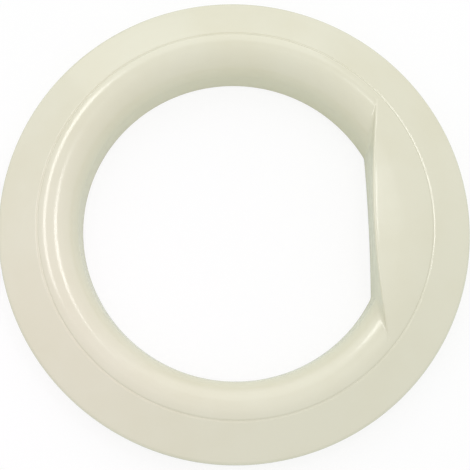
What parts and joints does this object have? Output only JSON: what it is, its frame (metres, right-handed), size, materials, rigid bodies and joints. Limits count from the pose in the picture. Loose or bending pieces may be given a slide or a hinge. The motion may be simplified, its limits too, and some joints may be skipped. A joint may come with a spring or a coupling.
{
  "type": "washing machine outer door frame",
  "caption": "Round moulded outer door frame with a sloping rim, a rolled inner edge round the window hole and a lens-shaped pull handle at one side.",
  "frame": {"origin": "axis of the ring at the plane of its rear edge", "axes": "+Z along the ring's axis, out of the front of the machine; +X from the axis towards the pull handle"},
  "size_m": [0.46, 0.46, 0.0549],
  "materials": {
    "ivory_plastic": "gloss ivory white moulding"
  },
  "bodies": {
    "root": {"outer_door_frame": "ivory_plastic"}
  },
  "joints": []
}
